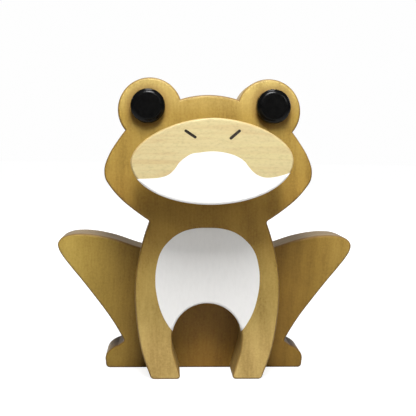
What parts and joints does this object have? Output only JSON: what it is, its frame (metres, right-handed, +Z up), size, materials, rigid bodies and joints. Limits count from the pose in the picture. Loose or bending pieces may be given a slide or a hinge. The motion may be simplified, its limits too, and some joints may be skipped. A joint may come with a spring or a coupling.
{
  "type": "eyeglasses display stand",
  "caption": "Free-standing wooden stand shaped as a sitting frog, cut from flat boards, with a gap behind its raised muzzle that holds spectacles by the bridge.",
  "frame": {"origin": "on the table, at the middle of the stand's footprint box", "axes": "+X to the right seen from the front, +Y from the muzzle to the back, +Z up; the face looks along -Y"},
  "size_m": [0.1024, 0.05, 0.1],
  "materials": {
    "body_wood": "stained and waxed, satin",
    "leg_wood": "stained and waxed, satin",
    "pale_wood": "sanded, clear wax, satin",
    "dowel_wood": "raw, turned",
    "eye_black": "gloss",
    "white_paint": "matt paint film"
  },
  "bodies": {
    "root": {"front_panel": "body_wood", "hind_leg_panel": "leg_wood", "muzzle": "pale_wood", "nose_spacer": "body_wood", "muzzle_dowel": "dowel_wood", "left_eye": "eye_black", "right_eye": "eye_black", "hind_dowel_left": "dowel_wood", "hind_dowel_right": "dowel_wood"}
  },
  "joints": []
}
